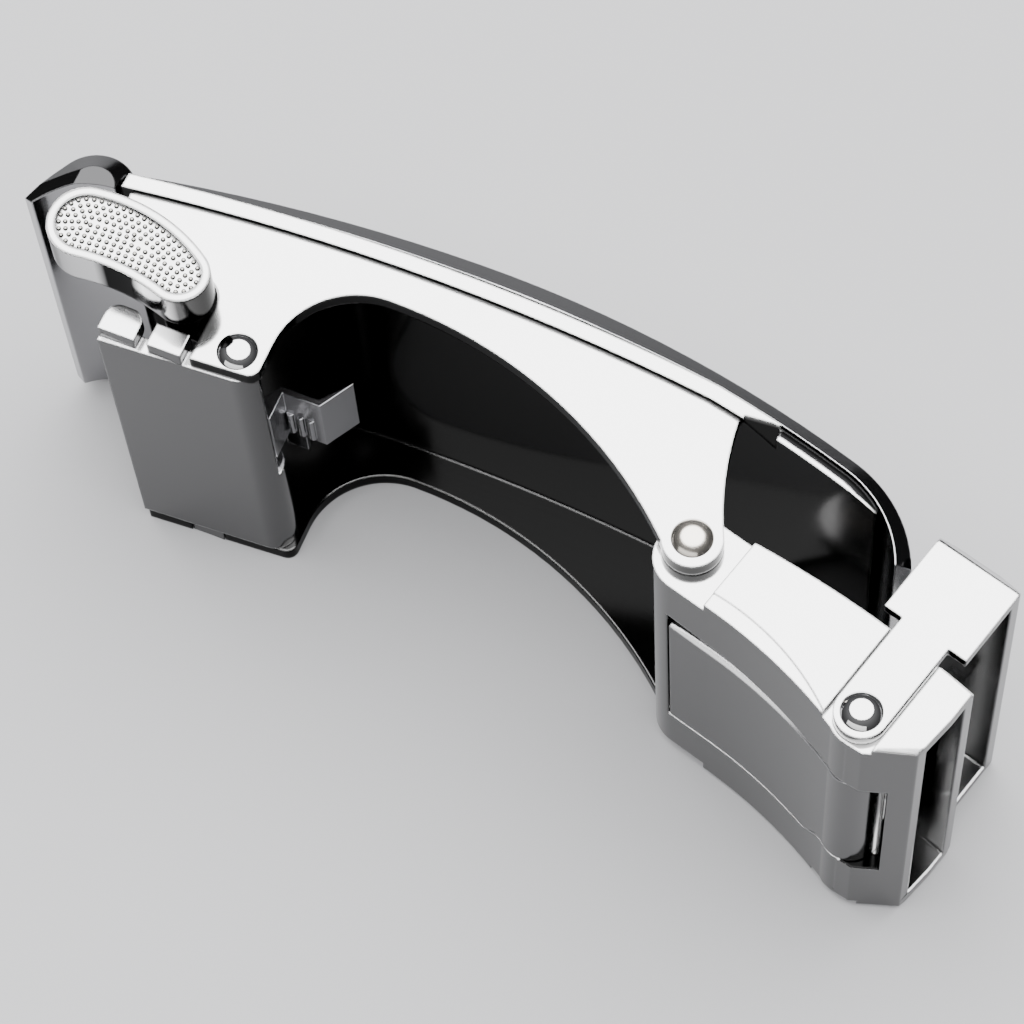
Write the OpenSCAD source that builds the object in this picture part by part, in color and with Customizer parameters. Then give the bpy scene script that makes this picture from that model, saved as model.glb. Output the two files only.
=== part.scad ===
// Ratchet belt buckle, standing on its lower long edge.
// X runs along the buckle to the clamp, Y points to the face plate and Z runs across the strap.
// Places are measured from the axis of the swivel rivets, and the clamp's along its own slope.

/* [Strap] */
// Width of the strap that passes through
strap_w = 35; // [25:1:40]
// Thickness of the strap
strap_t = 3.2; // [2.4:0.1:3.4]
// Free space on each side of the strap
strap_gap = 0.1; // [0.05:0.05:0.5]

/* [Frame] */
// Thickness of the two side plates
side_t = 1.6; // [1.2:0.1:2.2]
// Radius of the side plates' rear corner beside the arch
plate_corner_r = 1.1; // [0.6:0.1:1.4]
// Thickness of the curved web
web_t = 1.5; // [1:0.1:2]
// Radius of the web's outer face
web_r = 230; // [200:5:300]
// Distance from the web's crown back to the swivel rivets
crown_span = 33.6; // [30:0.2:38]
// Height of the web's crown over the swivel rivets
crown_rise = 16.75; // [15.5:0.25:19]
// Distance from the web's crown to its left end
web_reach = 28.5; // [27.5:0.25:29.5]
// Distance from the side plates' left corner to the web's left end
corner_step = 1.2; // [0.6:0.1:2]
// Radius of the small end of the arch
arch_r = 7.85; // [6.5:0.25:9]
// Distance from the pivot pin to the arch
arch_margin = 2.65; // [2.2:0.05:3.2]
// Distance from the web's crown down to the arch
arch_depth = 5.05; // [4:0.25:6]
// Radius of the lugs that hold the swivel rivets
lug_r = 2.8; // [2.5:0.1:3.2]
// Radius of the hollow right edge of the side plates
flank_r = 32; // [26:1:60]
// Distance from the swivel rivets to the side plates' right corner
flank_step = 0.5; // [0:0.1:1.5]
// Width of the fine groove between web and side plates
groove_w = 0.45; // [0.15:0.05:0.6]
// Depth of that groove
groove_depth = 0.6; // [0.1:0.05:0.8]
// Width of the notch at the end of the side plates
notch_w = 4.6; // [3:0.1:6]
// Slope of the cut in the web beside the side plate's flank
notch_slope = 50; // [35:1:65]
// Width of the level rim beside the web's sloping end strip
end_rim_w = 0.35; // [0.2:0.05:0.8]
// Drop of that strip towards the face plate
end_drop = 0.6; // [0.3:0.05:0.9]

/* [Face plate] */
// Thickness of the face plate at its crown
plate_t = 2; // [1.8:0.1:2.6]
// Thickness of the face plate at its right end
plate_end_t = 1.5; // [1.2:0.1:1.8]
// Distance from the web's crown to the face plate's crown
plate_step = 5.5; // [4:0.1:7]
// Radius of the face plate left of its crown
plate_left_r = 180; // [165:5:220]
// Radius of the face plate right of its crown
plate_right_r = 125; // [118:1:135]
// Radius of the curled right end
curl_r = 13; // [11:0.5:16]
// Distance from the swivel rivets to the start of the curled end
curl_x = 10.4; // [9:0.2:12]
// Angle through which the right end curls
curl_angle = 52; // [40:1:56]
// Width of the bevel along both long edges
bevel_w = 2; // [1:0.1:2.4]
// Height of that bevel
bevel_h = 1.4; // [0.8:0.1:2]
// Radius of the shoulder on the left end block
shoulder_r = 4; // [3.4:0.1:4.4]
// Height of that shoulder over the web's left end
shoulder_rise = 1.65; // [1.2:0.05:2]
// Radius of the left end block's outer flank
block_r = 40; // [30:1:60]
// Angle of that flank's start, from the X axis
block_angle = 150; // [140:1:155]
// Length of that flank
block_len = 5.3; // [4:0.1:6]
// Radius of the left end block's hollow side
block_hollow_r = 9.9; // [9:0.1:11]
// Distance from the web's left end to the sloping cut on the block's tip
tip_cut_x = 3.8; // [3:0.1:4.5]
// Slope of that cut
tip_cut_angle = 22; // [10:1:30]

/* [Ratchet] */
// Distance from the pivot pin to the swivel rivets
pivot_span = 44.7; // [42.5:0.1:46]
// Height of the pivot pin over the swivel rivets
pivot_rise = 1.95; // [1:0.05:3]
// Distance from the pivot pin to the housing's rear face
rear_offset = 2.2; // [2.1:0.05:2.8]
// Slope of the rear face, downwards to the left
rear_slope = 3; // [0:0.25:5]
// Length of the housing left of the pivot pin
housing_len = 12.9; // [12.5:0.1:14]
// Thickness of the rear wall
rear_t = 1.6; // [1.2:0.1:2]
// Width of the rear wall's tabs
tab_w = 3.3; // [2.5:0.1:4]
// Height of the rear wall's tabs
tab_h = 2.3; // [1.8:0.1:2.6]
// Distance from the pivot pin to the middle of the tabs and the slot
slot_offset = 6.3; // [6:0.1:6.8]
// Width of the rounded ear left of the tab
ear_w = 3.6; // [3:0.1:4]
// Height of that ear
ear_h = 3.3; // [2.8:0.1:3.6]
// Radius of the ear's corners
ear_r = 1.3; // [0.6:0.1:1.6]
// Distance from the middle of the tabs to the right edge of the lever's notch
stem_notch_w = 2.55; // [2.4:0.05:3]
// Distance from the pivot pin to the closed end of the lever's notch
slot_rise = 5.75; // [5.5:0.05:6.5]
// Radius of that notch's corner
notch_r = 2.4; // [1:0.1:2.5]
// Diameter of the pivot pin
pivot_d = 1.8; // [1.4:0.1:2]
// Outer diameter of the sleeves on the pivot pin
sleeve_d = 3; // [2.8:0.1:3.2]

/* [Release lever] */
// Distance from the pivot pin to the pad's small end
pad_reach = 6.7; // [6.4:0.1:7.4]
// Height of the pad's small end over the pivot pin
pad_rise = 3.15; // [2.6:0.05:3.6]
// Distance between the centres of the pad's two ends
pad_len = 10.25; // [9:0.25:12]
// Slope of the pad, upwards to the left
pad_slope = 9.6; // [6:0.2:12]
// Radius of the pad's large end
pad_r1 = 3.6; // [3:0.05:3.8]
// Radius of the pad's small end
pad_r2 = 2.85; // [2.4:0.05:3]
// Radius of the pad's bowed side
pad_bow_r = 17.5; // [14:0.5:24]
// Radius of the pad's hollow side
pad_hollow_r = 19.5; // [16:0.5:40]
// Height of the pad
pad_h = 4.3; // [3:0.1:5]
// Gap between the pad and the side plate
pad_gap = 0.3; // [0.2:0.05:0.6]
// Width of the pad's rim
rim_w = 0.85; // [0.5:0.05:1]
// Depth of the field inside the rim
field_depth = 0.3; // [0.1:0.05:0.5]
// Width of the stem along the buckle
stem_w = 3.2; // [3:0.1:3.6]
// Depth of the stem
stem_d = 2.6; // [2:0.1:3]
// Thickness of the lever's arm
arm_t = 1.4; // [1:0.1:1.6]

/* [Pawl] */
// Width of the pawl across the strap
pawl_w = 8; // [6:0.5:12]
// Thickness of the pawl's plate
pawl_t = 0.6; // [0.5:0.05:1]
// Length of the pawl's flat arm
pawl_arm = 3.8; // [3:0.1:4]
// Length of the pawl's bent tip
pawl_tip = 3.6; // [2.6:0.1:3.7]
// Angle of the pawl's bent tip
pawl_bend = 51; // [40:1:53]
// Height of the pawl's small foot
foot_h = 1.6; // [1:0.1:2]
// Width of that foot
foot_w = 2.2; // [1.6:0.1:2.6]
// Number of ribs on the pawl's arm
rib_count = 3; // [2:1:3]
// Radius of those ribs
rib_r = 0.35; // [0.2:0.05:0.4]

/* [Clamp] */
// Slope of the clamp at rest, downwards to the right
clamp_slope = 15.5; // [12:0.5:18]
// Thickness of the clamp's side walls
clamp_wall = 1.5; // [1.4:0.1:2]
// Step of the clamp's side walls below the frame's outer faces
clamp_inset = 0.4; // [0.2:0.05:0.5]
// Thickness of the clamp's lugs
clamp_lug_t = 1.4; // [1.2:0.1:1.8]
// Thickness of the clamp's back and end walls
clamp_t = 1.4; // [1.2:0.1:1.6]
// Thickness of the clamp's front wall
front_t = 1.2; // [1:0.1:1.4]
// Step from the side walls' outer faces to the front wall's edge
front_step = 0.7; // [0.4:0.1:1]
// Distance from the swivel rivets to the step in the side walls
step_x = 4.5; // [4.2:0.1:5]
// Length of the clamp from the swivel rivets
clamp_len = 27.85; // [27.5:0.05:29]
// Distance from the swivel rivets to the clamp's front face
front_y = 3.7; // [3.5:0.1:4.2]
// Place of the front face's crown along the clamp
front_crown_x = 15.5; // [13:0.5:18]
// Radius of the clamp's front face
front_r = 105; // [90:5:160]
// Distance from the swivel rivets to the clamp's back face
back_y = 4.3; // [4.2:0.1:5]
// Place where the hollow of the back face starts
hollow_x = 5; // [4.5:0.25:7]
// Radius of the hollow in the back face
hollow_r = 50; // [44:1:56]
// Radius of the swelling that joins the hollow to the barrel
blend_r = 4; // [3.25:0.25:5]
// Distance from the swivel rivets to the front of the clamp's lugs
lug_front_y = 3.2; // [2.8:0.1:3.4]
// Radius of the clamp's left end
heel_r = 3.5; // [3.2:0.1:3.6]
// Height of the window in the back face
window_h = 22.8; // [20:0.2:25]
// Distance from the swivel rivets to the window
window_x = 0.4; // [0.3:0.1:3]
// Height of the window beside the tongue's barrel
slot_h = 19; // [14:0.5:19.5]
// Width of the sunk band along the back edge of the side walls
band_w = 1.5; // [1:0.1:2.4]
// Radius of that band's front edge
band_r = 25; // [20:0.5:30]
// Depth of that band
band_depth = 0.15; // [0.05:0.05:0.3]
// Width of the bar right of the window
bar_w = 2; // [1.6:0.1:2.2]

/* [Tongue] */
// Distance along the clamp from the swivel rivets to the clamp pin
pin_x = 21.4; // [21.2:0.1:21.8]
// Distance from the swivel rivets back to the clamp pin
pin_y = 4.2; // [4:0.05:4.4]
// Diameter of the clamp pin
pin_d = 2; // [1.6:0.1:2.4]
// Radius of the barrel round the clamp pin
barrel_r = 2.8; // [2.7:0.05:2.9]
// Radius over the teeth of the tongue's cam
cam_r = 3.7; // [3.4:0.1:3.9]
// Number of teeth on the cam
tooth_count = 3; // [2:1:4]
// Thickness of the tongue's plate
tongue_t = 1.6; // [1.2:0.1:1.8]
// Gap round the tongue in its window
window_gap = 0.25; // [0.1:0.01:0.3]
// Length over which the window's lower edge rises towards the barrel
window_taper = 2; // [1:0.1:2.4]
// Turn of the sloping cut on the clamp's right back corner
facet_angle = 37; // [30:1:45]
// Slope of that cut
facet_slope = 28; // [15:1:35]
// Width of the sloping cut along the tongue's upper edge
edge_w = 0.4; // [0.2:0.05:0.6]

/* [Keeper] */
// Thickness of the keeper
keeper_t = 1.2; // [1:0.05:1.4]
// Width of the keeper's side arms
side_arm_w = 4.95; // [4.4:0.05:5.2]
// Width of the keeper's head
head_w = 8.7; // [7:0.1:9]
// Distance from the swivel rivets to the keeper's shoulders
head_y = 5; // [4.8:0.1:5.6]
// Free space inside the keeper beyond two layers of strap
keeper_slack = 1.65; // [0.6:0.05:2]
// Thickness of the keeper's bar
keeper_bar_t = 2; // [1.6:0.1:2.4]
// Radius of the crowned outer face of the keeper's bar
keeper_crown_r = 16; // [12:1:40]
// Radius of the keeper's long edges
keeper_edge_r = 1.4; // [1.2:0.1:1.5]

/* [Rivets] */
// Diameter of the swivel rivets
swivel_d = 2.2; // [1.8:0.1:2.6]
// Radius of the domed rivet heads
head_r = 1.9; // [1.6:0.05:2]
// Height of the domed rivet heads
head_h = 1; // [0.6:0.05:1.3]
// Thickness of the swivel rivets' inner heads
inner_head_h = 0.6; // [0.4:0.1:1]
// Radius of the swivel rivets' inner heads
inner_head_r = 1.5; // [1.3:0.05:1.8]
// Radial running clearance of pins and rivets
run_gap = 0.05; // [0.03:0.01:0.08]
// Gap between the keeper's side arms and the clamp's channels
channel_gap = 0.25; // [0.1:0.05:0.4]
// Gap between neighbouring pieces
gap = 0.1; // [0.05:0.01:0.15]

/* [Hidden] */
$fn = 96;
big_fn = 720;
big = 200;
eps = 0.01;

// Heights across the strap
body_h = strap_w + 2 * (strap_gap + clamp_wall + clamp_inset);
lug_z0 = side_t + gap;
lug_z1 = lug_z0 + clamp_lug_t;
box_z0 = clamp_inset;
box_z1 = clamp_inset + clamp_wall;
window_z0 = (body_h - window_h) / 2;
slot_z0 = (body_h - slot_h) / 2;
arm_z1 = body_h - side_t - gap;
pawl_z0 = (body_h - pawl_w) / 2 + 1;
pad_z0 = body_h + pad_gap;

// Centres and crossing points of the frame and the face plate
plate_span = crown_span - plate_step;
pivot = [-pivot_span, pivot_rise];
rear_y = pivot_rise - rear_offset;
housing_x = -pivot_span - housing_len;
web_c = [-crown_span, crown_rise - web_r];
plate_crown_y = crown_rise + gap + plate_t;
left_c = [-plate_span, plate_crown_y - plate_left_r];
right_c = [-plate_span, plate_crown_y - plate_right_r];
end_r = plate_right_r - plate_end_t;
end_start = meet(right_c, end_r, web_c, web_r + gap, 1);
curl_start = asin((curl_x + plate_span) / plate_right_r);
curl_c = right_c + (plate_right_r - curl_r) * [sin(curl_start), cos(curl_start)];
web_left = -crown_span - web_reach;
web_left_y = on_circle(web_c, web_r, web_left);
corner_x = web_left + corner_step;
arch_c = [-pivot_span + arch_margin + arch_r, crown_rise - arch_depth - arch_r];
arch_foot = [arch_c.x - arch_r, rear_at(arch_c.x - arch_r) + gap];
arch_end = -lug_r * [cos(25), sin(25)];
arch_big_r = arc_radius(arch_end.x - arch_c.x, arch_c.y + arch_r - arch_end.y);
flank_top = [-flank_step, on_circle(web_c, web_r - web_t, -flank_step)];
notch_a = flank_top + [0.3, 0.1];
notch_b = flank_top + [notch_w - 0.9, 0.35];
flank_low = lug_r * [cos(32), sin(32)];
flank_c = third_point(flank_top, flank_low, flank_r);

// The face plate's left end block
shoulder_c = [web_left - 2.2, web_left_y + shoulder_rise - shoulder_r];
block_c = shoulder_c - (block_r - shoulder_r) * [cos(block_angle), sin(block_angle)];
block_end = block_angle + block_len / block_r * 180 / PI;
block_tip = block_c + block_r * [cos(block_end), sin(block_end)];
block_hollow_c = [web_left + 0.5, web_left_y - 1.9 - block_hollow_r];

// The release pad's end centres and the centres of its two long sides
pad_c2 = pivot + [-pad_reach, pad_rise];
pad_c1 = pad_c2 + pad_len * [-cos(pad_slope), sin(pad_slope)];
bow_c = meet(pad_c1, pad_bow_r - pad_r1, pad_c2, pad_bow_r - pad_r2, -1);
hollow_c = meet(pad_c1, pad_hollow_r + pad_r1, pad_c2, pad_hollow_r + pad_r2, -1);
slot_x = -pivot_span - slot_offset;
notch_x = slot_x + stem_notch_w;
notch_top = pivot_rise + slot_rise;
stem_y = pivot_rise + 1;

// The clamp, in its own frame
pin = [pin_x, -pin_y];
front_c = [front_crown_x, front_y - front_r];
hollow_face_c = [hollow_x, -back_y - hollow_r];
blend_c_y = pin.y - barrel_r + blend_r;
blend_c = [
    hollow_x + sqrt(pow(hollow_r + blend_r, 2) - pow(blend_c_y - hollow_face_c.y, 2)), blend_c_y
];
blend_x = hollow_x + (blend_c.x - hollow_x) * hollow_r / (hollow_r + blend_r);
back_tip = [clamp_len - 4.4, -pin_y - barrel_r + 0.1];
back_end = [clamp_len - 0.35, -back_y];
heel_c = [0.6, heel_r - back_y];
bar_x = clamp_len - bar_w - 0.3;
neck_x = pin_x - 2.2;
deep_x = pin_x - 8;
swing_r = barrel_r + 2 * window_gap;
swing_wide_r = swing_r + 0.6 * window_taper;
facet_a = back_tip + [1, 1.15];
keeper_y = front_y + 2 * strap_t + keeper_slack + keeper_bar_t;
keeper_crown_c = [pin_x - 0.3, keeper_y - keeper_crown_r];
band_c = [1.3 * hollow_x, band_w - back_y - band_r];

// The shift that puts the origin below the middle of the part
corner_right = turned([pin_x + head_w / 2, on_circle(keeper_crown_c, keeper_crown_r, pin_x + head_w / 2)]);
corner_back = turned(back_tip);
shift = -[(block_tip.x + corner_right.x) / 2, (corner_back.y + plate_crown_y) / 2];

// Height of a circle's upper side at x
function on_circle(c, r, x) = c.y + sqrt(r * r - (x - c.x) * (x - c.x));
// Height of the housing's rear face at x
function rear_at(x) = rear_y + (x + pivot_span) * tan(rear_slope);
// Radius of an arc that starts level and falls by dy over dx
function arc_radius(dx, dy) = (dx * dx + dy * dy) / (2 * dy);
// A point of the clamp in the frame's directions
function turned(p) = [
    p.x * cos(clamp_slope) + p.y * sin(clamp_slope),
    p.y * cos(clamp_slope) - p.x * sin(clamp_slope)
];
// Where two circles cross, above (1) or below (-1) the line between their centres
function meet(a, ra, b, rb, side) =
    let (d = norm(b - a), u = (b - a) / d, s = (d * d + ra * ra - rb * rb) / (2 * d))
    a + s * u + side * sqrt(ra * ra - s * s) * [-u.y, u.x];
// Angle of the way from a to b
function bearing(a, b) = atan2(b.y - a.y, b.x - a.x);
// Points of an arc, without its last one
function arc(c, r, a0, a1, n) =
    [for (i = [0 : n - 1]) c + r * [cos(a0 + (a1 - a0) * i / n), sin(a0 + (a1 - a0) * i / n)]];
// Centre of a circle of radius r through a and b, on the left of the way from a to b
function third_point(a, b, r) =
    let (d = norm(b - a), u = (b - a) / d)
    (a + b) / 2 + sqrt(r * r - d * d / 4) * [-u.y, u.x];

module at(p) { translate([p.x, p.y, 0]) children(); }
module rise(z0, z1) { translate([0, 0, z0]) linear_extrude(z1 - z0) children(); }
// The same slab measured inwards from the lower and from the upper face
module pair(z0, z1) {
    rise(z0, z1) children();
    rise(body_h - z1, body_h - z0) children();
}
module strip_x(x0, x1) { translate([x0, -big]) square([x1 - x0, 2 * big]); }
module strip_y(y0, y1) { translate([-big, y0]) square([2 * big, y1 - y0]); }
module disc(c, r) { at(c) circle(r, $fn = r > 25 ? big_fn : 96); }
module wedge(c, a0, a1) {
    polygon([c, c + big * [cos(a0), sin(a0)], c + big * [cos(a1), sin(a1)]]);
}
module placed() { translate([shift.x, shift.y, 0]) children(); }
module on_clamp() { rotate(-clamp_slope) children(); }

// A round slab with the face plate's bevel on both edges
module bevelled_disc(c, r) {
    at(c) rotate_extrude($fn = r > 25 ? big_fn : 96) polygon([
        [0, 0], [r - bevel_w, 0], [r, bevel_h],
        [r, body_h - bevel_h], [r - bevel_w, body_h], [0, body_h]
    ]);
}

// The side of the web's outer face where the strap lies, drawn back by inset
module behind_web(inset) {
    intersection() {
        disc(web_c, web_r - inset);
        strip_x(-big, -plate_span + eps);
    }
    intersection() {
        disc(web_c, web_r - inset);
        disc(right_c, end_r - gap - inset);
        strip_x(-plate_span, curl_x);
    }
    intersection() {
        disc(curl_c, curl_r - plate_end_t - gap - inset);
        disc(right_c, end_r - gap - inset);
        strip_x(curl_x - eps, big);
    }
}

// A stretch of the face plate between two places along the buckle
module plate_stretch(c, r, inner_c, inner_r, x0, x1) {
    difference() {
        intersection() {
            bevelled_disc(c, r);
            rise(0, body_h) strip_x(x0, x1);
        }
        rise(-1, body_h + 1) disc(inner_c, inner_r);
    }
}

module end_block() {
    difference() {
        union() {
            intersection() {
                bevelled_disc(shoulder_c, shoulder_r);
                rise(0, body_h) strip_x(-big, web_left + 2);
            }
            intersection() {
                bevelled_disc(block_c, block_r);
                rise(0, body_h) wedge(block_c, block_angle, block_end);
            }
        }
        rise(-1, body_h + 1) {
            intersection() {
                disc(web_c, web_r + gap);
                strip_x(web_left - gap, big);
            }
            disc(block_hollow_c, block_hollow_r);
        }
        // sloping cuts on the block's tip
        for (side = [0, 1]) translate([web_left - tip_cut_x, 0, side * body_h]) mirror([0, 0, 1 - side])
            rotate([0, -tip_cut_angle, 0]) translate([-20, 0, 0]) cube([20, crown_rise + 8, 8]);
    }
}

module face_plate() {
    color("silver") placed() {
        end_block();
        plate_stretch(left_c, plate_left_r, web_c, web_r + gap, web_left, -plate_span);
        plate_stretch(right_c, plate_right_r, web_c, web_r + gap, -plate_span, end_start.x);
        plate_stretch(right_c, plate_right_r, right_c, end_r, end_start.x, curl_x);
        difference() {
            intersection() {
                bevelled_disc(curl_c, curl_r);
                rise(0, body_h) wedge(curl_c, 90 - curl_start - curl_angle, 90 - curl_start);
            }
            rise(-1, body_h + 1) disc(curl_c, curl_r - plate_end_t);
        }
    }
}

// Outline of a side plate without its rear notches
module side_outline() {
    difference() {
        union() {
            polygon(concat(
                [[corner_x, crown_rise], [corner_x + 0.4, crown_rise - 6]],
                [[housing_x, pivot_rise + 2.5], [housing_x + 0.4, rear_at(housing_x) + gap]],
                arc(arch_foot + plate_corner_r * [-1, 1], plate_corner_r, -90, 0, 6),
                [arch_foot + [0, plate_corner_r], [arch_foot.x, arch_c.y]],
                [arch_end, [lug_r, 0], [flank_top.x + 1.5, crown_rise]]
            ));
            disc([0, 0], lug_r);
        }
        disc(arch_c, arch_r);
        intersection() {
            disc([arch_c.x, arch_c.y + arch_r - arch_big_r], arch_big_r);
            strip_x(arch_c.x, arch_end.x);
            strip_y(arch_end.y, big);
        }
        disc(flank_c, flank_r);
    }
}

module frame() {
    color("gainsboro") placed() difference() {
        union() {
            rise(0, body_h) intersection() {
                difference() {
                    behind_web(0);
                    intersection() {
                        disc(web_c, web_r - web_t);
                        union() {
                            strip_x(-big, -plate_span);
                            disc(right_c, end_r - gap - web_t);
                        }
                    }
                }
                polygon([
                    [web_left - 0.5, 0], [web_left + 0.6, crown_rise + 1],
                    [curl_x + 4, crown_rise + 1], [curl_x + 3.2, 0]
                ]);
            }
            pair(0, side_t) intersection() {
                side_outline();
                behind_web(web_t / 2);
            }
        }
        pair(-1, groove_depth) intersection() {
            difference() {
                behind_web(web_t);
                behind_web(web_t + groove_w);
            }
            strip_x(corner_x - 1, flank_top.x + 1);
        }
        // sloping strip on the web's right end
        intersection() {
            end_slope(right_c, end_r - gap);
            rise(-1, body_h + 1) strip_x(notch_b.x, curl_x);
        }
        intersection() {
            end_slope(curl_c, curl_r - plate_end_t - gap);
            rise(-1, body_h + 1) strip_x(curl_x - eps, big);
        }
        // sloping cut beside the flank
        for (side = [0, 1]) translate([0, 0, side * body_h]) mirror([0, 0, 1 - side]) at(notch_a)
            rotate([0, 0, bearing(notch_a, notch_b)]) rotate([notch_slope, 0, 0])
                translate([0, -2 * web_t, 0]) cube([norm(notch_b - notch_a), 2 * web_t, 2 * web_t]);
        // notch for the lever's stem, open at the rear and the left
        rise(body_h - side_t - 1, body_h + 1) {
            translate([housing_x - 10, rear_y - 4])
                square([notch_x - housing_x + 10, notch_top - notch_r - rear_y + 4]);
            translate([housing_x - 10, rear_y - 4])
                square([notch_x - notch_r - housing_x + 10, notch_top - rear_y + 4]);
            disc([notch_x - notch_r, notch_top - notch_r], notch_r);
        }
        // notch for the lower tab
        rise(-1, side_t + 1) translate([slot_x - tab_w / 2 - gap, rear_y - 4])
            square([tab_w + 2 * gap, tab_h + 4 + gap]);
        rise(-1, body_h + 1) {
            disc(pivot, pivot_d / 2 + run_gap);
            disc([0, 0], swivel_d / 2 + run_gap);
        }
    }
}

// A cut that slopes from the rim of the web's end strip to its outer radius r, on both faces
module end_slope(c, r) {
    for (side = [0, 1]) at(c) translate([0, 0, side * body_h]) mirror([0, 0, 1 - side])
        rotate_extrude($fn = r > 25 ? big_fn : 96) polygon([
            [r - web_t + end_rim_w, eps], [r + gap, eps], [r + gap, -end_drop], [r, -end_drop],
            [r - web_t + end_rim_w, 0]
        ]);
}

// The rounded ear beside the upper tab
module ear() {
    x0 = housing_x + 0.1;
    top = rear_at(x0) + ear_h;
    translate([x0, rear_at(x0) + 0.4]) square([ear_w, ear_h - 0.4 - ear_r]);
    translate([x0 + ear_r, top - 2 * ear_r]) square([ear_w - 2 * ear_r, 2 * ear_r]);
    disc([x0 + ear_r, top - ear_r], ear_r);
    disc([x0 + ear_w - ear_r, top - ear_r], ear_r);
}

module back_plate() {
    color("darkgray") placed() difference() {
        union() {
            rise(side_t + gap, body_h - side_t - gap) {
                polygon([
                    [housing_x, rear_at(housing_x)], [-pivot_span, rear_y],
                    [-pivot_span, rear_y + rear_t], [housing_x, rear_at(housing_x) + rear_t]
                ]);
                intersection() {
                    disc(pivot, rear_offset);
                    translate([-pivot_span, rear_y]) square([rear_offset, rear_offset]);
                }
            }
            rise(side_t + gap, pawl_z0 - gap) disc(pivot, rear_offset);
            rise(0, body_h) translate([slot_x - tab_w / 2, rear_y - 0.2]) square([tab_w, tab_h]);
            rise(body_h - side_t - gap - eps, body_h) ear();
        }
        rise(-1, body_h + 1) disc(pivot, pivot_d / 2 + run_gap);
        rise(pawl_z0 - gap, body_h + 1) disc(pivot, sleeve_d / 2 + gap);
        rise(pawl_z0 - gap, body_h + 1) strip_half();
    }
}

// The space right of and in front of the pivot pin, free for the pawl
module strip_half() {
    at(pivot) translate([0, -0.6]) square([big, big]);
}

// The pad's outline, drawn in by inset: two round ends, the hollow side and the bowed side
module pad_outline(inset) {
    bow_a1 = bearing(bow_c, pad_c1);
    bow_a2 = bearing(bow_c, pad_c2);
    hollow_a1 = bearing(hollow_c, pad_c1);
    hollow_a2 = bearing(hollow_c, pad_c2);
    polygon(concat(
        arc(pad_c1, pad_r1 - inset, bow_a1, hollow_a1 + 180, 24),
        arc(hollow_c, pad_hollow_r + inset, hollow_a1, hollow_a2, 16),
        arc(pad_c2, pad_r2 - inset, hollow_a2 + 180, bow_a2 + 360, 20),
        arc(bow_c, pad_bow_r - inset, bow_a2, bow_a1, 24)
    ));
}

module release_lever() {
    color("silver") placed() difference() {
        union() {
            rise(pad_z0, pad_z0 + pad_h) pad_outline(0);
            rise(arm_z1 - arm_t, pad_z0 + eps)
                translate([slot_x - stem_w / 2, stem_y]) square([stem_w, stem_d]);
            rise(arm_z1 - arm_t, arm_z1) polygon([
                pivot + [0, sleeve_d / 2 - eps], [slot_x + stem_w / 2, stem_y + stem_d],
                [slot_x - stem_w / 2, stem_y + stem_d], [slot_x - stem_w / 2, stem_y],
                pivot + [-sleeve_d / 2, 0.6], pivot
            ]);
            rise(pawl_z0 + pawl_w + 2 + gap, arm_z1) disc(pivot, sleeve_d / 2);
        }
        rise(pad_z0 + pad_h - field_depth, pad_z0 + pad_h + 1) pad_outline(rim_w);
        rise(-1, body_h - side_t / 2) disc(pivot, pivot_d / 2 + run_gap);
    }
}

module pawl() {
    knee = pivot + [1.1, 4.1];
    bend = knee + [pawl_arm, 0];
    tip = bend + pawl_tip * [cos(pawl_bend), sin(pawl_bend)];
    side = pawl_t * [-sin(pawl_bend), cos(pawl_bend)];
    color("gray") placed() difference() {
        union() {
            rise(pawl_z0, pawl_z0 + pawl_w + 2) disc(pivot, sleeve_d / 2);
            rise(pawl_z0 + 1, pawl_z0 + 1 + pawl_w) polygon([
                pivot + [0.4, 0], pivot + [1.5, 0.6], knee + [0.4, -pawl_t], bend + [0.4, -pawl_t],
                tip - side * 0.2, tip, bend, knee, pivot + [-0.9, 1]
            ]);
            for (i = [0 : rib_count - 1])
                rise(pawl_z0 + foot_h, pawl_z0 + 0.65 * pawl_w)
                    disc(knee + [0.8 + i * 3 * rib_r, -pawl_t], rib_r);
            rise(pawl_z0 - foot_h, pawl_z0 + 1 + eps) at(knee + [-0.1, -pawl_t]) square([foot_w, pawl_t]);
        }
        rise(-1, body_h + 1) disc(pivot, pivot_d / 2 + run_gap);
    }
}

// A rivet: shank from z0 up, with a domed head on the face at z1
module domed_rivet(c, d, z0, z1) {
    cap_r = (head_r * head_r + head_h * head_h) / (2 * head_h);
    at(c) {
        translate([0, 0, z0]) cylinder(h = z1 - z0 + eps, r = d / 2);
        translate([0, 0, z1]) intersection() {
            translate([0, 0, head_h - cap_r]) sphere(cap_r);
            cylinder(h = head_h, r = head_r);
        }
    }
}

module pivot_pin() {
    color("silver") placed() domed_rivet(pivot, pivot_d, 0, body_h);
}

module swivel_rivet_top() {
    color("silver") placed() {
        domed_rivet([0, 0], swivel_d, body_h - lug_z1 - gap, body_h);
        translate([0, 0, body_h - lug_z1 - gap - inner_head_h]) cylinder(h = inner_head_h, r = inner_head_r);
    }
}

module swivel_rivet_bottom() {
    color("silver") placed() {
        cylinder(h = lug_z1 + gap + eps, r = swivel_d / 2);
        translate([0, 0, lug_z1 + gap]) cylinder(h = inner_head_h, r = inner_head_r);
    }
}

// The clamp's outline seen from the side, without its lugs
module clamp_outline() {
    difference() {
        intersection() {
            polygon([
                [step_x, pin.y - barrel_r], [step_x, front_y + 1], [clamp_len, front_y + 1],
                [clamp_len, 0], back_end, back_tip, blend_c - [0, blend_r]
            ]);
            disc(front_c, front_r);
        }
        clamp_hollow(0);
    }
    disc(pin, barrel_r);
}

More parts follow.
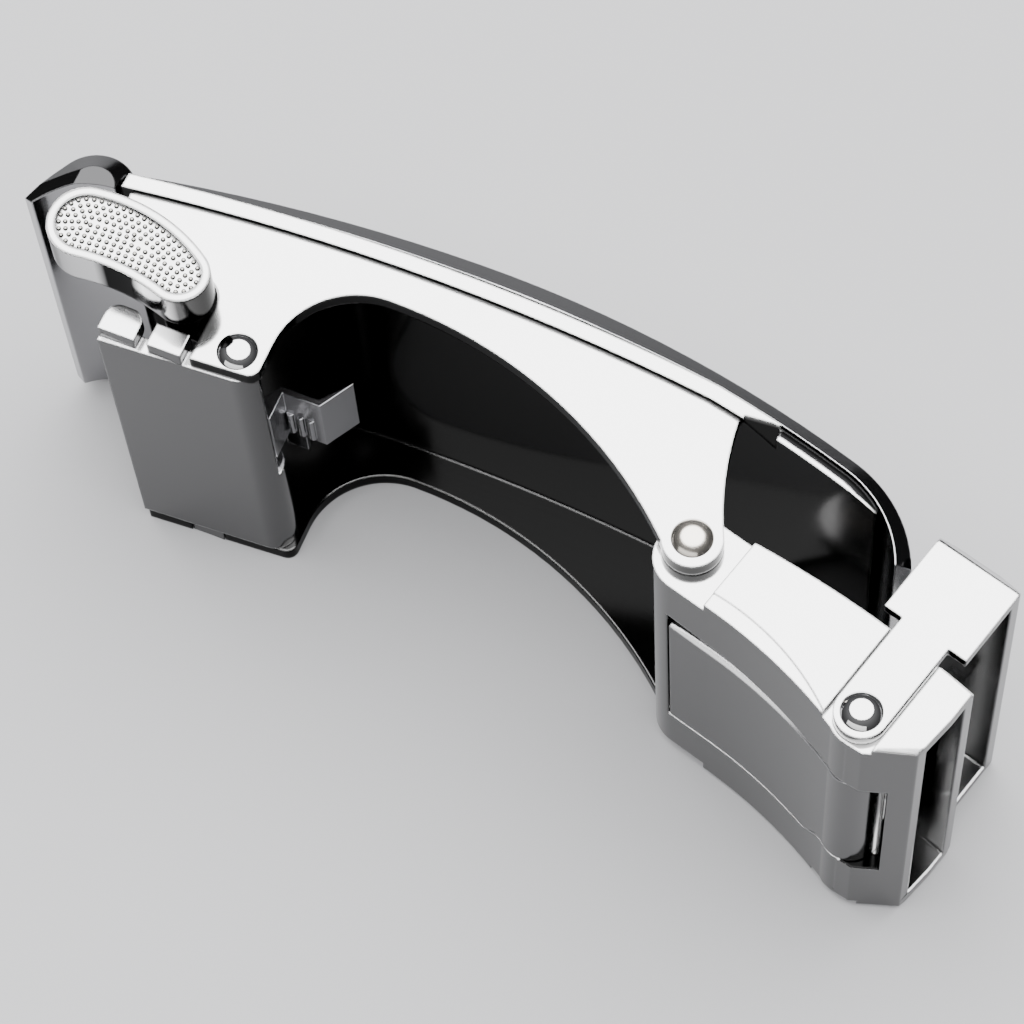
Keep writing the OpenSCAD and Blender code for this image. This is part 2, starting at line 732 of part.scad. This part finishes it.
// The space behind the clamp's back face, drawn in by inset
module clamp_hollow(inset) {
    intersection() {
        disc(hollow_face_c, hollow_r + inset);
        translate([hollow_x - eps, hollow_face_c.y]) square([blend_x - hollow_x + eps, big]);
    }
    // the swelling over the barrel
    difference() {
        translate([blend_x - eps, -big]) square([blend_c.x - blend_x + eps, big + blend_c.y]);
        disc(blend_c, blend_r - inset);
    }
    translate([-big, -big - back_y + inset]) square([big + hollow_x, big]);
}

module lug_outline() {
    difference() {
        union() {
            disc(heel_c, heel_r);
            disc([0, 0], lug_front_y);
            translate([heel_c.x, -back_y]) square([step_x + clamp_t / 2 - heel_c.x, back_y + lug_front_y]);
        }
        clamp_hollow(0);
    }
}

module back_wall_band() {
    intersection() {
        difference() {
            clamp_hollow(clamp_t);
            clamp_hollow(0);
        }
        strip_x(heel_c.x, pin_x - 1);
    }
    disc(pin, barrel_r);
    polygon([
        blend_c - [0, blend_r], back_tip, back_end, [clamp_len - 0.3, back_end.y + 1.2],
        [bar_x, back_end.y + 1.2], [bar_x, back_end.y + 0.4], [bar_x - 1.8, -pin_y - 0.6],
        [pin_x, -pin_y - 0.6]
    ]);
}

module clamp_body() {
    color("silver") placed() on_clamp() difference() {
        union() {
            pair(box_z0, box_z1) clamp_outline();
            pair(lug_z0, lug_z1) lug_outline();
            // back wall, front wall and end wall
            rise(box_z0 + eps, body_h - box_z0 - eps) intersection() {
                back_wall_band();
                strip_x(step_x, big);
            }
            rise(lug_z0 + eps, body_h - lug_z0 - eps) {
                intersection() {
                    back_wall_band();
                    strip_x(heel_c.x, step_x + 1);
                }
                intersection() {
                    difference() {
                        disc(heel_c, heel_r);
                        disc(heel_c, heel_r - clamp_t);
                    }
                    translate(heel_c - [big, big]) square(big + eps);
                }
            }
            rise(box_z0 + front_step, body_h - box_z0 - front_step) intersection() {
                difference() {
                    disc(front_c, front_r + 0.3);
                    disc(front_c, front_r + 0.3 - front_t);
                }
                translate([step_x, 0]) square([clamp_len - step_x, big]);
            }
            rise(box_z0 + eps, body_h - box_z0 - eps) intersection() {
                translate([step_x, -back_y]) square([clamp_t, back_y + front_y]);
                disc(front_c, front_r);
            }
        }
        // window in the back face, deeper near the barrel
        intersection() {
            through_back(-big, -0.6) window_outline(0);
            rise(-1, body_h + 1) union() {
                strip_y(-big, -back_y + tongue_t + 3 * gap);
                strip_x(deep_x, big);
            }
        }
        // sloping cuts on the right corner of the back face
        for (side = [0, 1]) translate([0, 0, side ? body_h - box_z0 : box_z0]) mirror([0, 0, 1 - side])
            at(facet_a) rotate([0, 0, facet_angle]) rotate([facet_slope, 0, 0])
                translate([-2 * clamp_t, -4 * clamp_t, 0]) cube([6 * clamp_t, 4 * clamp_t, 2 * clamp_t]);
        // sunk band along the back edge of the side walls
        pair(-1, box_z0 + band_depth) intersection() {
            disc(band_c, band_r);
            strip_x(step_x - 0.5, pin_x - barrel_r);
        }
        // room for the swivel rivets' inner heads
        pair(lug_z1, lug_z1 + inner_head_h + 3 * gap) disc([0, 0], inner_head_r + 3 * gap);
        // channels for the keeper's side arms
        pair(-1, keeper_t + gap / 2) translate([pin_x - side_arm_w / 2 - channel_gap, -big])
            square([side_arm_w + 2 * channel_gap, 2 * big]);
        rise(-1, body_h + 1) {
            disc([0, 0], swivel_d / 2 + run_gap);
            disc(pin, pin_d / 2 + run_gap);
        }
    }
}

module clamp_tongue() {
    z0 = window_z0 + window_gap;
    barrel_z0 = slot_z0 + window_gap;
    z1 = body_h - barrel_z0;
    tooth = 40 / tooth_count;
    color("lightgray") placed() on_clamp() difference() {
        union() {
            difference() {
                intersection() {
                    through_back(-big, 0) window_outline(window_gap);
                    rise(z0, z1) intersection() {
                        tongue_band();
                        strip_x(0, pin_x - 1);
                    }
                }
                // room to swing below the barrel
                at(pin) translate([0, 0, window_z0])
                    cylinder(h = barrel_z0 - window_z0, r1 = swing_wide_r, r2 = swing_r);
            }
            rise(barrel_z0, z1) disc(pin, barrel_r);
            // toothed cam that bites the strap
            rise(barrel_z0 + 0.5, z1 - 0.5) for (i = [0 : tooth_count - 1])
                polygon([
                    pin,
                    pin + (barrel_r - 0.2) * [cos(90 - (i + 0.9) * tooth), sin(90 - (i + 0.9) * tooth)],
                    pin + cam_r * [cos(90 - (i + 0.2) * tooth), sin(90 - (i + 0.2) * tooth)],
                    pin + (barrel_r - 0.2) * [cos(90 - (i - 0.1) * tooth), sin(90 - (i - 0.1) * tooth)]
                ]);
        }
        rise(-1, body_h + 1) disc(pin, pin_d / 2 + run_gap);
        // sloping cut along the upper edge
        at(hollow_face_c) rotate_extrude($fn = big_fn) polygon([
            [hollow_r - 1, z1 - edge_w - 1], [hollow_r + edge_w + 1, z1 + 1], [hollow_r - 1, z1 + 1]
        ]);
    }
}

// The window's outline in the clamp's length and width, drawn in by inset
module window_outline(inset) {
    polygon([
        [bar_x - inset, slot_z0 + inset], [neck_x, slot_z0 + inset],
        [neck_x - window_taper, window_z0 + inset], [window_x + inset, window_z0 + inset],
        [window_x + inset, body_h - window_z0 - inset], [neck_x, body_h - slot_z0 - inset],
        [bar_x - inset, body_h - slot_z0 - inset]
    ]);
}

// A slab that runs from y0 to y1 through the back face
module through_back(y0, y1) { translate([0, y1, 0]) rotate([90, 0, 0]) linear_extrude(y1 - y0) children(); }

// The tongue's curved plate seen from the side, longer than it is
module tongue_band() {
    difference() {
        clamp_hollow(tongue_t);
        clamp_hollow(0);
    }
}

module clamp_pin() {
    color("silver") placed() on_clamp() domed_rivet(pin, pin_d, 0, body_h);
}

// The keeper's outline seen along the clamp: a U with rounded outer corners
module keeper_u() {
    y1 = keeper_y;
    r = keeper_edge_r;
    difference() {
        union() {
            translate([head_y, 0]) square([y1 - r - head_y, body_h]);
            translate([y1 - r - eps, r]) square([r + eps, body_h - 2 * r]);
            for (z = [r, body_h - r]) translate([y1 - r, z]) circle(r);
        }
        translate([head_y - 1, keeper_t]) square([y1 - keeper_bar_t - head_y + 1, body_h - 2 * keeper_t]);
    }
}

module keeper() {
    color("silver") placed() on_clamp() difference() {
        union() {
            translate([pin_x - head_w / 2, 0, 0]) rotate([90, 0, 90]) linear_extrude(head_w) keeper_u();
            pair(0, keeper_t) {
                translate([pin_x - side_arm_w / 2, pin.y]) square([side_arm_w, head_y - pin.y + 1]);
                disc(pin, side_arm_w / 2);
            }
        }
        rise(-1, body_h + 1) disc(pin, pin_d / 2 + run_gap);
        rise(-1, body_h + 1) difference() {
            strip_y(head_y, big);
            disc(keeper_crown_c, keeper_crown_r);
            strip_y(head_y, keeper_crown_c.y + 1);
        }
    }
}

face_plate();
frame();
back_plate();
release_lever();
pawl();
pivot_pin();
swivel_rivet_top();
swivel_rivet_bottom();
clamp_body();
clamp_tongue();
clamp_pin();
keeper();
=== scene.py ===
import bpy, bmesh, math
from mathutils import Matrix, Vector


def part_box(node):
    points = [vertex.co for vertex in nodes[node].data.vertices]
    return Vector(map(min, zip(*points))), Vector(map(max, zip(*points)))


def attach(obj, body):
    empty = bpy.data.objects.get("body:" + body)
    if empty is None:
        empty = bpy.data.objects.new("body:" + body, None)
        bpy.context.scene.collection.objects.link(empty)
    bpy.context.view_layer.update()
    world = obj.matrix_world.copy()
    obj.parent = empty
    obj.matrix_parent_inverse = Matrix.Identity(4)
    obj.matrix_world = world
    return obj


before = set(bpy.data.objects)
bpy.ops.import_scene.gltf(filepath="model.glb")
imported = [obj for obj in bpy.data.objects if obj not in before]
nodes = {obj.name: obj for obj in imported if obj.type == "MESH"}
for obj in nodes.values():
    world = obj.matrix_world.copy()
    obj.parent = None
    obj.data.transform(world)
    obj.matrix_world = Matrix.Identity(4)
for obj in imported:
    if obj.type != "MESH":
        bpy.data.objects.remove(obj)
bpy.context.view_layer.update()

MM = 0.001  # lengths below are in mm, unless they say otherwise
low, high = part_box("swivel_rivet_top")
SWIVEL = (low + high) / 2 / MM  # the swivel rivets' axis
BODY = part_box("frame")[1].z / MM  # width of the buckle across the strap


# Building blocks for materials
def mat(name):
    m = bpy.data.materials.new(name)
    m.use_nodes = True
    t = m.node_tree
    return m, t, t.nodes["Principled BSDF"]


def add(t, kind, **values):
    """A new node. Each value sets the attribute of its name or, without one, the input."""
    n = t.nodes.new(kind)
    for key, v in values.items():
        if hasattr(n, key):
            setattr(n, key, v)
        else:
            n.inputs[key.replace("_", " ")].default_value = v
    return n


def put(t, v, socket):
    """Set a socket to a number, or link another socket to it."""
    if isinstance(v, (int, float)):
        socket.default_value = v
    else:
        t.links.new(v, socket)


def calc(t, kind, a, b=0.0):
    """One arithmetic step on sockets or numbers."""
    n = add(t, "ShaderNodeMath", operation=kind)
    put(t, a, n.inputs[0])
    put(t, b, n.inputs[1])
    return n.outputs[0]


def mix(t, factor, a, b):
    """a where the factor is 0, b where it is 1."""
    n = add(t, "ShaderNodeMix", data_type="FLOAT")
    put(t, factor, n.inputs["Factor"])
    put(t, a, n.inputs["A"])
    put(t, b, n.inputs["B"])
    return n.outputs["Result"]


def spread(t, source, low, high, at_low, at_high):
    """Map a value range onto another, clamped."""
    n = add(t, "ShaderNodeMapRange", From_Min=low, From_Max=high, To_Min=at_low, To_Max=at_high)
    t.links.new(source, n.inputs["Value"])
    return n.outputs["Result"]


def border(t, source, place, at_low, at_high):
    """A soft step between two values at a place."""
    return spread(t, source, (place - BORDER) * MM, (place + BORDER) * MM, at_low, at_high)


def noise(t, co, scale, low, high):
    """Noise spread between two values, for tone or gloss."""
    n = add(t, "ShaderNodeTexNoise", Scale=scale, Detail=3.0, Roughness=0.5)
    t.links.new(co.outputs["Object"], n.inputs["Vector"])
    return spread(t, n.outputs["Fac"], 0.0, 1.0, low, high)


def painted_reflection_streaks(t, x, reflection_bands):
    """Painted reflection tones at given places along the buckle."""
    (start, first), (end, last) = reflection_bands[0], reflection_bands[-1]
    ramp = add(t, "ShaderNodeValToRGB")
    steps = ramp.color_ramp.elements
    for place, tone in reflection_bands[1:-1]:
        steps.new((place - start) / (end - start)).color = (tone, tone, tone, 1)
    steps[0].color = (first, first, first, 1)
    steps[len(reflection_bands) - 1].color = (last, last, last, 1)
    t.links.new(spread(t, x, start * MM, end * MM, 0.0, 1.0), ramp.inputs["Fac"])
    return ramp.outputs["Color"]


def slot_shade_mask(t, co):
    """Mask for painted shade: 1 inside the slot beside the clamp's barrel, 0 elsewhere."""
    turned = add(t, "ShaderNodeMapping", vector_type="TEXTURE",
                 Location=SLOT_C * MM, Rotation=(0, 0, -CLAMP_SLOPE))
    t.links.new(co.outputs["Object"], turned.inputs["Vector"])
    local = add(t, "ShaderNodeSeparateXYZ")
    t.links.new(turned.outputs["Vector"], local.inputs["Vector"])
    inside = 1.0
    for axis, half in zip("XYZ", SLOT_HALF):
        away = calc(t, "ABSOLUTE", local.outputs[axis])
        inside = calc(t, "MULTIPLY", calc(t, "LESS_THAN", away, half * MM), inside)
    return inside


def wiped(t, co, normal):
    """Fine wiping marks that run along the buckle."""
    stretch = add(t, "ShaderNodeMapping", Scale=WIPE_SCALE)
    t.links.new(co.outputs["Object"], stretch.inputs["Vector"])
    lines = add(t, "ShaderNodeTexNoise", Scale=1.0, Detail=2.0, Roughness=0.5)
    t.links.new(stretch.outputs["Vector"], lines.inputs["Vector"])
    bump = add(t, "ShaderNodeBump", Strength=WIPE_STRENGTH, Distance=WIPE_DEPTH * MM)
    t.links.new(lines.outputs["Fac"], bump.inputs["Height"])
    t.links.new(normal, bump.inputs["Normal"])
    return bump.outputs["Normal"]


def plated_with_painted_shade(name, colour, rough, edge, side, lean=(0.25, 0.85), sunk_shade=1.0, plane=0.35, reflection_bands=(),
             slant=1.0, grazing=1.0, slot=1.0, upright=None, block=None):
    """Plated metal: outer faces at full tone, walls and recessed faces painted darker as painted
    shade, wiping marks, softened edges.

    rough is how dull the metal is, edge the radius of the softened edges, side the walls' painted
    shade tone.
    lean is the range over which a face turns from wall to outer face, by its normal.
    sunk_shade is the painted shade tone of what lies deeper than plane below the buckle's two
    outer planes.
    reflection_bands are pairs of a place along the buckle and the walls' painted reflection tone
    there, and slant is the share of that tone that sloping faces keep.
    grazing is the tone at flat angles, slot the painted shade tone inside the slot beside the
    clamp's barrel, where the grazing tone is painted black too.
    upright is the painted shade tone of upright walls, where it differs from that of sloping
    faces.
    Left of block, outer faces are painted with the sloping faces' darker tone, as painted shade.
    """
    m, t, p = mat(name)
    p.inputs["Metallic"].default_value = 1.0
    p.inputs["Specular Tint"].default_value = (grazing, grazing, grazing, 1)
    co = add(t, "ShaderNodeTexCoord")
    place = add(t, "ShaderNodeSeparateXYZ")
    t.links.new(co.outputs["Object"], place.inputs["Vector"])
    bev = add(t, "ShaderNodeBevel", samples=BEVEL_SAMPLES, Radius=edge * MM)
    split = add(t, "ShaderNodeSeparateXYZ")
    t.links.new(bev.outputs["Normal"], split.inputs["Vector"])
    facing = calc(t, "ABSOLUTE", split.outputs["Z"])  # 0 on an upright wall, 1 on an outer face

    outer = spread(t, facing, *lean, 0.0, 1.0)
    # Painted shade: the top of the face plate's end block gets the darker tone
    if block is not None:
        outer = calc(t, "MULTIPLY", outer, border(t, place.outputs["X"], block, 0.0, 1.0))
    # Painted shade: walls get a darker tone than the outer faces, a painted dark reflection
    wall = side
    # Painted reflection: light and dark streaks along the walls
    if reflection_bands:
        kept = spread(t, facing, *BANDS_LEAN, 1.0, slant)
        wall = calc(t, "MULTIPLY", painted_reflection_streaks(t, place.outputs["X"], reflection_bands), kept)
    tone = mix(t, outer, wall, 1.0)
    # Painted shade: upright walls get a tone of their own
    if upright is not None:
        tone = mix(t, spread(t, facing, *UPRIGHT_LEAN, 1.0, 0.0), tone, upright)
    # Painted shade: what lies deeper than plane, inside the frame and under the pad, is darkened
    reach = calc(t, "ABSOLUTE", calc(t, "SUBTRACT", place.outputs["Z"], BODY / 2 * MM))
    tone = calc(t, "MULTIPLY", tone, border(t, reach, BODY / 2 - plane, sunk_shade, 1.0))
    tone = calc(t, "MULTIPLY", tone, noise(t, co, TONE_SCALE, 1 - TONE_TINT, 1.0))
    # Painted shade: the metal inside the slot is darkened, its grazing tone too
    if slot < 1:
        inside = slot_shade_mask(t, co)
        tone = calc(t, "MULTIPLY", tone, spread(t, inside, 0.0, 1.0, 1.0, slot))
        t.links.new(spread(t, inside, 0.0, 1.0, grazing, 0.0), p.inputs["Specular Tint"])

    dyed = add(t, "ShaderNodeMix", data_type="RGBA", A=(0, 0, 0, 1), B=(*colour, 1))
    t.links.new(tone, dyed.inputs["Factor"])
    t.links.new(dyed.outputs["Result"], p.inputs["Base Color"])
    gloss = noise(t, co, GLOSS_SCALE, rough * (1 - GLOSS_TINT), rough * (1 + GLOSS_TINT))
    t.links.new(gloss, p.inputs["Roughness"])
    t.links.new(wiped(t, co, bev.outputs["Normal"]), p.inputs["Normal"])
    return m


# Materials
BORDER = 0.1  # half the width of a soft step
BEVEL_SAMPLES = 6
UPRIGHT_LEAN = (0.45, 0.70)  # the range over which a face turns from upright to sloping
BANDS_LEAN = (0.3, 0.75)  # the same, where the walls have painted reflection streaks
TONE_SCALE, TONE_TINT = 90.0, 0.03  # noise per metre, and its share
GLOSS_SCALE, GLOSS_TINT = 1400.0, 0.2
WIPE_SCALE = (60, 2500, 2500)  # per metre, finer across the buckle than along it
WIPE_STRENGTH, WIPE_DEPTH = 0.02, 0.05

# The slot beside the clamp's barrel, where the metal is painted dark as shade
CLAMP_SLOPE = math.radians(15.5)
SLOT_ALONG, SLOT_DOWN = 23.9, 2.0  # its middle, from the swivel's axis along and across the clamp
ALONG = Vector((math.cos(CLAMP_SLOPE), -math.sin(CLAMP_SLOPE)))
DOWN = Vector((-math.sin(CLAMP_SLOPE), -math.cos(CLAMP_SLOPE)))
SLOT_C = (SWIVEL.xy + SLOT_ALONG * ALONG + SLOT_DOWN * DOWN).to_3d()
SLOT_C.z = BODY / 2
SLOT_HALF = (1.72, 5.0, 9.55)  # half its size

# Painted shade: the walls' tone, darker than the outer faces, which every metal below is painted
# with
WALL_SHADE = 0.08
SILVER = (0.88, 0.88, 0.88)
BLOCK_RIGHT = SWIVEL.x - 62.2  # right end of the face plate's end block, left of which the top is painted with the darker shade tone
# Painted reflection: places on the pad's wall, from its large end to its small end, and the light
# and dark tones painted there
PAD_REFLECTION_BANDS = [(SWIVEL.x + x, tone) for x, tone in (
    (-65.2, 0.04), (-63.7, 0.04), (-62.6, 0.80), (-59.2, 0.95), (-58.1, 0.02),
    (-55.3, 0.02), (-54.1, 0.85), (-52.2, 0.60), (-50.5, 0.05), (-48.5, 0.02),
)]

# Painted shade: chrome is painted dark inside the slot beside the clamp's barrel
chrome = plated_with_painted_shade("chrome", SILVER, 0.10, 0.35, WALL_SHADE, slot=0.02)
# Painted shade: the frame's inside faces are darkened
chrome_frame = plated_with_painted_shade("chrome_frame", SILVER, 0.10, 0.40, WALL_SHADE,
                        lean=(0.70, 0.97), sunk_shade=0.15, plane=0.25, grazing=0.6)
# Painted shade: the end block's top, the plate's sloping faces and its upright walls
chrome_plate = plated_with_painted_shade("chrome_plate", (0.84, 0.84, 0.86), 0.10, 0.25, 0.075,
                        lean=(0.95, 0.995), upright=0.45, block=BLOCK_RIGHT)
chrome_rear = plated_with_painted_shade("chrome_rear", (0.86, 0.86, 0.87), 0.14, 0.3, WALL_SHADE)
# Painted shade below the pad, and painted reflection streaks along the pad's wall
chrome_lever = plated_with_painted_shade("chrome_lever", (0.86, 0.86, 0.86), 0.10, 0.50, WALL_SHADE,
                        lean=(0.95, 0.992), sunk_shade=0.02, plane=-0.3, reflection_bands=PAD_REFLECTION_BANDS, slant=0.0,
                        grazing=0.5)
chrome_pin = plated_with_painted_shade("chrome_pin", SILVER, 0.05, 0.12, 0.10)
nickel = plated_with_painted_shade("nickel", (0.86, 0.81, 0.73), 0.20, 0.15, 0.12)
steel = plated_with_painted_shade("steel", (0.50, 0.50, 0.52), 0.20, 0.15, 0.35)
dot_metal = plated_with_painted_shade("dot_metal", (0.42, 0.41, 0.38), 0.22, 0.02, 0.02, lean=(0.55, 0.97))

LOOK = {
    "face_plate": chrome_plate, "frame": chrome_frame, "back_plate": chrome_rear,
    "release_lever": chrome_lever, "pawl": steel, "pivot_pin": chrome_pin,
    "swivel_rivet_top": nickel, "swivel_rivet_bottom": nickel, "clamp_body": chrome,
    "clamp_tongue": chrome_rear, "clamp_pin": chrome_pin, "keeper": chrome,
}
for name, m in LOOK.items():
    o = nodes[name]
    o.data.materials.clear()
    o.data.materials.append(m)

# The keeper has visibly soft edges
KEEPER_EDGE = 0.45
keeper = nodes["keeper"]
weld = keeper.modifiers.new("weld", "WELD")
weld.merge_threshold = 0.002 * MM
flat = keeper.modifiers.new("flat", "DECIMATE")
flat.decimate_type = "DISSOLVE"
flat.angle_limit = math.radians(0.2)
soft = keeper.modifiers.new("soft", "BEVEL")
soft.width = KEEPER_EDGE * MM
soft.segments = 4
soft.limit_method = "ANGLE"
soft.angle_limit = math.radians(35)
soft.use_clamp_overlap = True


# Release pad: the outline of the part's own source, repeated for the dots in its field
PIVOT = Vector((-44.7, 1.95))  # from the swivel rivets' axis
PAD_REACH, PAD_RISE, PAD_LEN = 6.7, 3.15, 10.25
PAD_SLOPE = math.radians(9.6)
P2 = PIVOT + Vector((-PAD_REACH, PAD_RISE))
P1 = P2 + PAD_LEN * Vector((-math.cos(PAD_SLOPE), math.sin(PAD_SLOPE)))
R1, R2, BOW, HOLLOW = 3.6, 2.85, 17.5, 19.5
PAD_GAP, PAD_H, FIELD_DEPTH = 0.3, 4.3, 0.3
FIELD = BODY + PAD_GAP + PAD_H - FIELD_DEPTH


def meet(a, ra, b, rb, side):
    """Where two circles cross, left of the line between their centres for side 1."""
    d = (b - a).length
    u = (b - a) / d
    s = (d * d + ra * ra - rb * rb) / (2 * d)
    return a + s * u + side * math.sqrt(ra * ra - s * s) * Vector((-u.y, u.x))


BOW_C = meet(P1, BOW - R1, P2, BOW - R2, -1)
HOLLOW_C = meet(P1, HOLLOW + R1, P2, HOLLOW + R2, -1)


def bearing(a, b):
    return math.atan2(b.y - a.y, b.x - a.x)


def arc(c, r, a0, a1, n):
    angles = [a0 + (a1 - a0) * i / n for i in range(n)]
    return [c + r * Vector((math.cos(a), math.sin(a))) for a in angles]


def pad_outline(inset):
    b1, b2 = bearing(BOW_C, P1), bearing(BOW_C, P2)
    h1, h2 = bearing(HOLLOW_C, P1), bearing(HOLLOW_C, P2)
    pi = math.pi
    return (arc(P1, R1 - inset, b1, h1 + pi, 40) + arc(HOLLOW_C, HOLLOW + inset, h1, h2, 60)
            + arc(P2, R2 - inset, h2 + pi, b2 + 2 * pi, 40) + arc(BOW_C, BOW - inset, b2, b1, 60))


def along(points, pitch, phase):
    """Places at equal steps near pitch round a closed line."""
    m = len(points)
    seg = [(points[(i + 1) % m] - points[i]).length for i in range(m)]
    total = sum(seg)
    n = round(total / pitch)
    out, i, run = [], 0, 0.0
    for k in range(n):
        want = (k + phase) / n * total
        while run + seg[i] < want:
            run += seg[i]
            i += 1
        f = (want - run) / seg[i]
        out.append(points[i].lerp(points[(i + 1) % m], f))
    return out


PITCH, ROW, DOT, FIELD_EDGE = 0.72, 0.60, 0.24, 1.12
ROWS = 5
NEAREST = 0.8 * ROW  # a dot nearer than this to another is left out
DOT_SHAPE = Matrix.Diagonal((1, 1, 0.9, 1))
bm = bmesh.new()
placed = []
for row in range(ROWS):
    for q in along(pad_outline(FIELD_EDGE + row * ROW), PITCH, 0.5 * (row % 2)):
        if any((q - other).length < NEAREST for other in placed):
            continue
        placed.append(q)
        spot = Matrix.Translation(((q.x + SWIVEL.x) * MM, (q.y + SWIVEL.y) * MM, FIELD * MM))
        bmesh.ops.create_uvsphere(bm, u_segments=10, v_segments=6, radius=DOT * MM,
                                  matrix=spot @ DOT_SHAPE)
me = bpy.data.meshes.new("pad_dots")
bm.to_mesh(me)
bm.free()
dots = bpy.data.objects.new("pad_dots", me)
bpy.context.scene.collection.objects.link(dots)
for f in me.polygons:
    f.use_smooth = True
me.materials.append(dot_metal)
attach(dots, "lever")

# Floor, sizes in metres
bpy.ops.mesh.primitive_plane_add(size=6, location=(0, 0, 0))
floor = bpy.context.object
floor.name = "floor"
fm, ft, fp = mat("floor")
fp.inputs["Roughness"].default_value = 0.75
fp.inputs["Base Color"].default_value = (0.38, 0.38, 0.39, 1)
floor.data.materials.append(fm)


# Light: two soft lights, places and sizes in metres, power in watts
def softbox(name, place, size, power, shape="RECTANGLE"):
    data = bpy.data.lights.new(name, "AREA")
    data.shape = shape
    data.size = size[0]
    if shape == "RECTANGLE":
        data.size_y = size[1]
    data.energy = power
    o = bpy.data.objects.new(name, data)
    bpy.context.scene.collection.objects.link(o)
    o.location = place
    o.rotation_euler = (Vector(place) - LIT).to_track_quat("Z", "Y").to_euler()


LIT = Vector((0, 0, 0.02))  # what both lights are turned to
softbox("top_light", (-0.05, 0.21, 0.80), (1.9,), 56.0, "DISK")
softbox("front_light", (0.0, -1.2, 0.50), (2.2, 0.45), 6.0)

# Surroundings: dark at the horizon, paler above
HORIZON, ZENITH, AMBIENT = (0.10, 0.10, 0.105, 1), (0.42, 0.42, 0.43, 1), 0.6
world = bpy.data.worlds.new("studio")
bpy.context.scene.world = world
world.use_nodes = True
wt = world.node_tree
bg = wt.nodes["Background"]
wc = add(wt, "ShaderNodeTexCoord")
sep = add(wt, "ShaderNodeSeparateXYZ")
wr = add(wt, "ShaderNodeValToRGB")
wt.links.new(wc.outputs["Generated"], sep.inputs["Vector"])
wt.links.new(sep.outputs["Z"], wr.inputs["Fac"])
wr.color_ramp.elements[0].color = HORIZON
wr.color_ramp.elements[1].color = ZENITH
wt.links.new(wr.outputs["Color"], bg.inputs["Color"])
bg.inputs["Strength"].default_value = AMBIENT

# Camera, at the photo's view
FOCAL_PX, PHOTO_PX, SENSOR = 4085.9, 1024, 36
EYE = Vector((56.69933, -139.83581, 362.44589))  # from the swivel rivets' axis on the floor
TURN = Matrix((
    (0.9197275, -0.3367444, 0.2017534),
    (0.3904012, 0.8384221, -0.3803096),
    (-0.0410874, 0.4285459, 0.9025853),
))
cam_data = bpy.data.cameras.new("camera")
cam_data.sensor_width = SENSOR
cam_data.lens = FOCAL_PX / PHOTO_PX * SENSOR
cam_data.clip_start = 0.01
cam_data.clip_end = 20
cam = bpy.data.objects.new("camera", cam_data)
bpy.context.scene.collection.objects.link(cam)
eye = (SWIVEL.xy.to_3d() + EYE) * MM
cam.matrix_world = Matrix.Translation(eye) @ TURN.to_4x4()
bpy.context.scene.camera = cam
